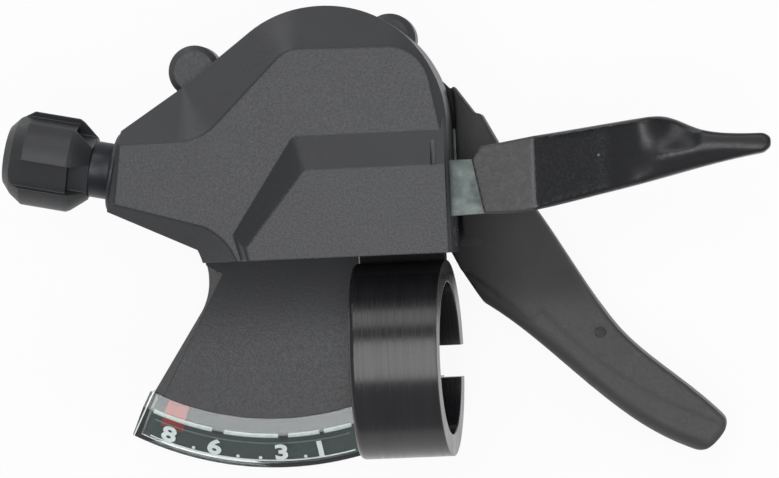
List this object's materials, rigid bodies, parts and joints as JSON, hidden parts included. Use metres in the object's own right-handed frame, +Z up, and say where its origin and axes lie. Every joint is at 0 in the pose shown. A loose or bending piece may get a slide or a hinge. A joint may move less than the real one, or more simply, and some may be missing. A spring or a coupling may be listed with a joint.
{
  "type": "trigger gear shifter",
  "caption": "Handlebar trigger gear shifter with domed cover, curved gear window, lobed cable adjuster, thumb paddle and release trigger on a split clamp band.",
  "frame": {"origin": "centre of the handlebar clamp bore", "axes": "+X along the handlebar towards its end, +Y forward away from the rider, +Z up"},
  "size_m": [0.1115, 0.0673, 0.0372],
  "materials": {
    "cover_plastic": "satin dark grey moulding",
    "lever_plastic": "matt dark grey moulding",
    "trigger_plastic": "half gloss black moulding",
    "knob_plastic": "matt dark grey moulding",
    "band_paint": "satin dark grey paint",
    "zinc_steel": "zinc plated sheet",
    "pin_steel": "turned steel",
    "screw_steel": "steel",
    "bolt_black": "black finish",
    "spring_steel": "spring wire",
    "spool_resin": "pale slippery resin",
    "lens_clear": "clear polished plastic",
    "dial_dark": "dark scale with white print",
    "needle_red": "red moulding"
  },
  "bodies": {
    "body": {"clamp_band": "band_paint", "clamp_bolt": "screw_steel", "clamp_nut": "screw_steel", "base_plate": "zinc_steel", "band_screws": "screw_steel", "cover_screws": "screw_steel", "upper_cover": "cover_plastic", "indicator_lens": "lens_clear", "indicator_dial": "dial_dark", "indicator_back": "cover_plastic", "back_screws": "screw_steel", "needle_clip": "pin_steel", "main_axle": "pin_steel", "axle_nut": "pin_steel", "lower_cover": "cover_plastic", "lever_spring": "spring_steel", "spool_spring": "spring_steel", "trigger_stud": "pin_steel", "trigger_clip": "pin_steel", "trigger_spring": "spring_steel", "adjuster_spring": "spring_steel", "cable_cap": "cover_plastic"},
    "spool": {"spool": "spool_resin", "ratchet_wheel": "zinc_steel"},
    "needle": {"needle": "needle_red"},
    "main_lever": {"lever_plate": "zinc_steel", "thumb_lever": "lever_plastic", "spring_peg": "pin_steel", "feed_pawl_pin": "pin_steel"},
    "feed_pawl": {"feed_pawl": "zinc_steel"},
    "trigger": {"trigger_plate": "zinc_steel", "trigger_grip": "trigger_plastic"},
    "holding_pawl": {"holding_pawl": "zinc_steel"},
    "adjuster": {"adjuster_bolt": "bolt_black", "adjuster_knob": "knob_plastic"}
  },
  "joints": [
    {"name": "thumb_lever_swing", "type": "hinge", "parent": "body", "child": "main_lever", "pos_m": [-0.00925, 0.0355, 0], "axis": [0, 0, 1], "range_deg": [0, 38], "stiffness_Nm_per_rad": 0.08, "springref_deg": -17.19},
    {"name": "trigger_pull", "type": "hinge", "parent": "body", "child": "trigger", "pos_m": [0.00303, 0.02556, 0], "axis": [0, 0, -1], "range_deg": [0, 16], "stiffness_Nm_per_rad": 0.05, "springref_deg": -14.32},
    {"name": "spool_turn", "type": "hinge", "parent": "body", "child": "spool", "pos_m": [-0.00925, 0.0355, 0], "axis": [0, 0, 1], "range_deg": [0, 90]},
    {"name": "needle_turn", "type": "hinge", "parent": "body", "child": "needle", "pos_m": [-0.0191, 0.0327, 0], "axis": [0, 0, 1], "range_deg": [0, 29.01]},
    {"name": "feed_pawl_tilt", "type": "hinge", "parent": "main_lever", "child": "feed_pawl", "pos_m": [-0.01363, 0.04753, 0], "axis": [0, 0, -1], "range_deg": [0, 5], "stiffness_Nm_per_rad": 0.002, "springref_deg": -5.73},
    {"name": "holding_pawl_tilt", "type": "hinge", "parent": "body", "child": "holding_pawl", "pos_m": [0.00303, 0.02556, 0], "axis": [0, 0, -1], "range_deg": [0, 16]},
    {"name": "adjuster_turn", "type": "hinge", "parent": "body", "child": "adjuster", "pos_m": [-0.05573, 0.03229, 0.0018], "axis": [-0.9781, 0.2079, 0], "continuous": true}
  ],
  "couplings": [
    {"joint": "needle_turn", "follows": "spool_turn", "ratio": 0.32214},
    {"joint": "holding_pawl_tilt", "follows": "trigger_pull", "ratio": 1}
  ]
}
